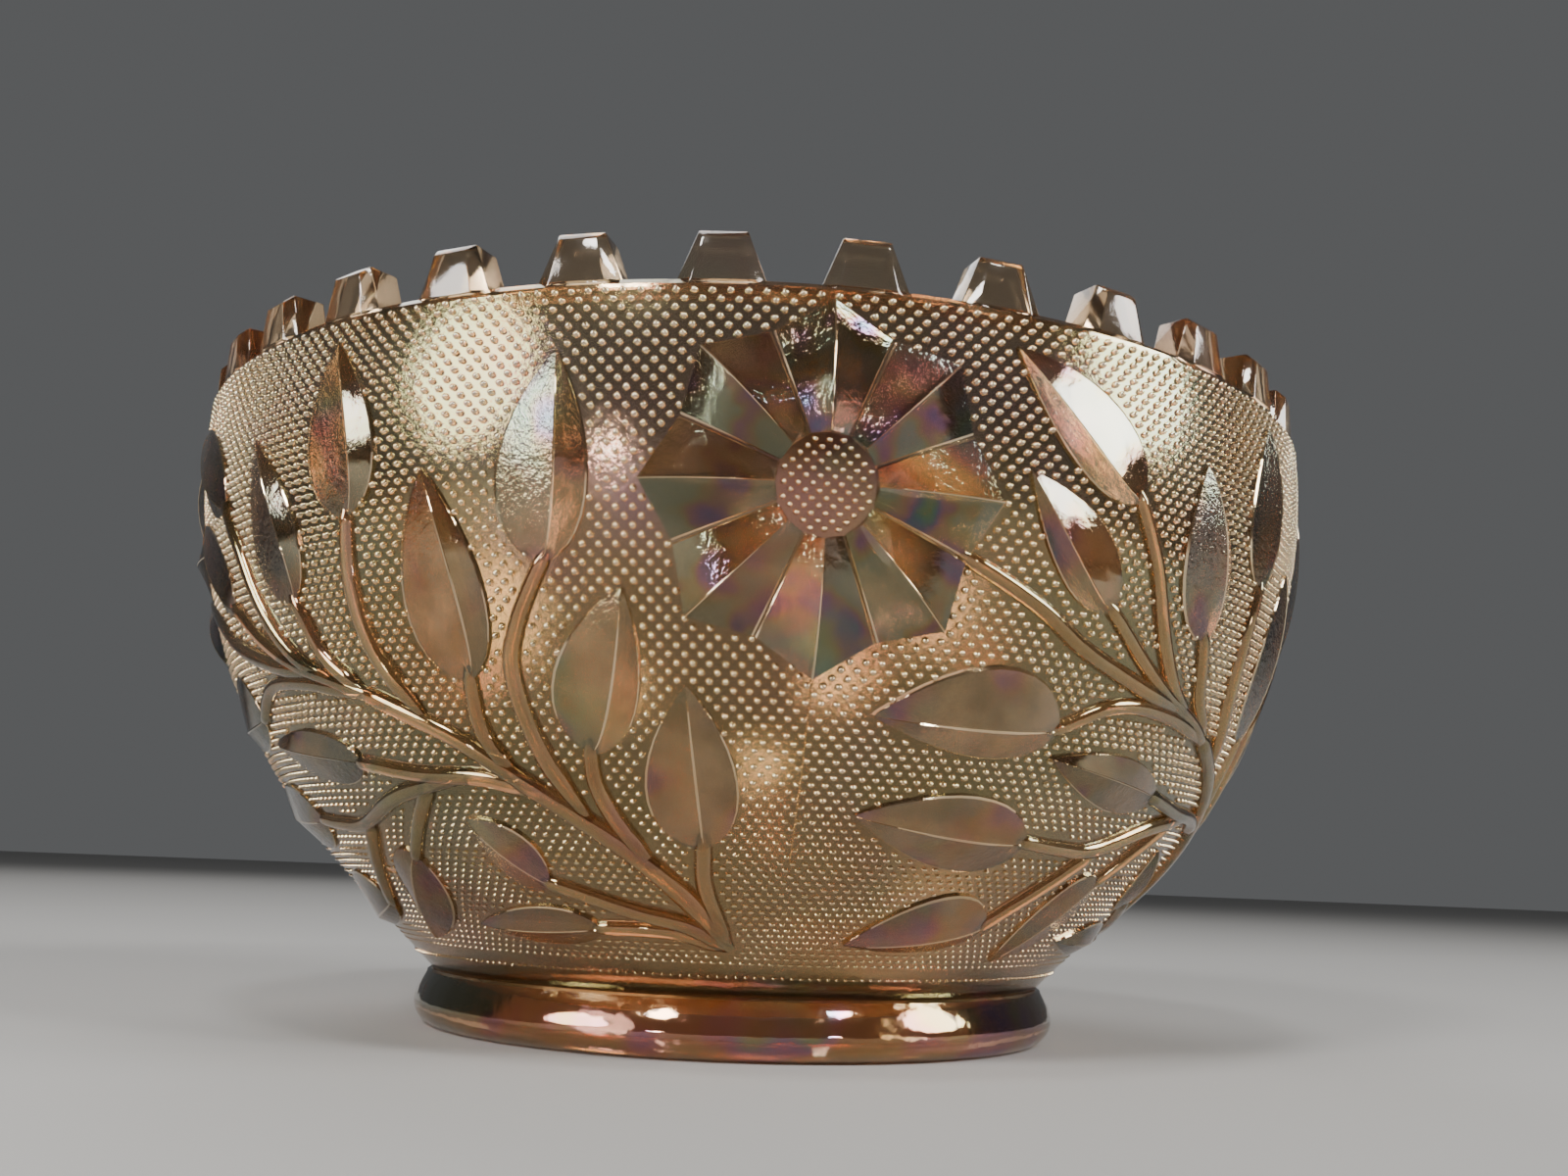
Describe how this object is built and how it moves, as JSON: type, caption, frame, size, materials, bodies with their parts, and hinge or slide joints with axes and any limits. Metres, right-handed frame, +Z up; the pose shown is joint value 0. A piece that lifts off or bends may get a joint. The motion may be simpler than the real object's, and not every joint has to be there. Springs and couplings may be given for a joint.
{
  "type": "pressed glass bowl",
  "caption": "Deep round pressed-glass bowl on a rolled foot ring, with a crown of block teeth round the rim and leaf sprays and blossoms on a beaded ground.",
  "frame": {"origin": "centre of the foot ring on the plane that the bowl stands on", "axes": "+Z up along the bowl's axis; -Y is the side with the first blossom"},
  "size_m": [0.1638, 0.1638, 0.0893],
  "materials": {
    "wall_glass": "clear amber glass with a smooth iridescent lustre",
    "floor_glass": "clear amber glass, glossy",
    "foot_glass": "glossy deep amber glass with purple and blue lustre",
    "rim_glass": "glossy deep amber glass edge",
    "tooth_glass": "clear smoky amber glass with glossy bevelled edges",
    "bead_glass": "amber glass beads with a silvery gold lustre",
    "leaf_glass": "smoky amber glass, part smooth and part finely stippled, iridescent",
    "stem_glass": "smooth amber glass cord",
    "petal_glass": "smoky amber facets with turquoise, violet and gold lustre"
  },
  "bodies": {
    "root": {"bowl_wall": "wall_glass", "bowl_floor": "floor_glass", "foot_ring": "foot_glass", "rim_band": "rim_glass", "rim_teeth": "tooth_glass", "beads_front": "bead_glass", "beads_right": "bead_glass", "beads_back": "bead_glass", "beads_left": "bead_glass", "leaves_front": "leaf_glass", "leaves_right": "leaf_glass", "leaves_back": "leaf_glass", "leaves_left": "leaf_glass", "stems_front": "stem_glass", "stems_right": "stem_glass", "stems_back": "stem_glass", "stems_left": "stem_glass", "petals_front": "petal_glass", "petals_right": "petal_glass", "petals_back": "petal_glass", "petals_left": "petal_glass", "blossom_eye_front": "bead_glass", "blossom_eye_right": "bead_glass", "blossom_eye_back": "bead_glass", "blossom_eye_left": "bead_glass"}
  },
  "joints": []
}
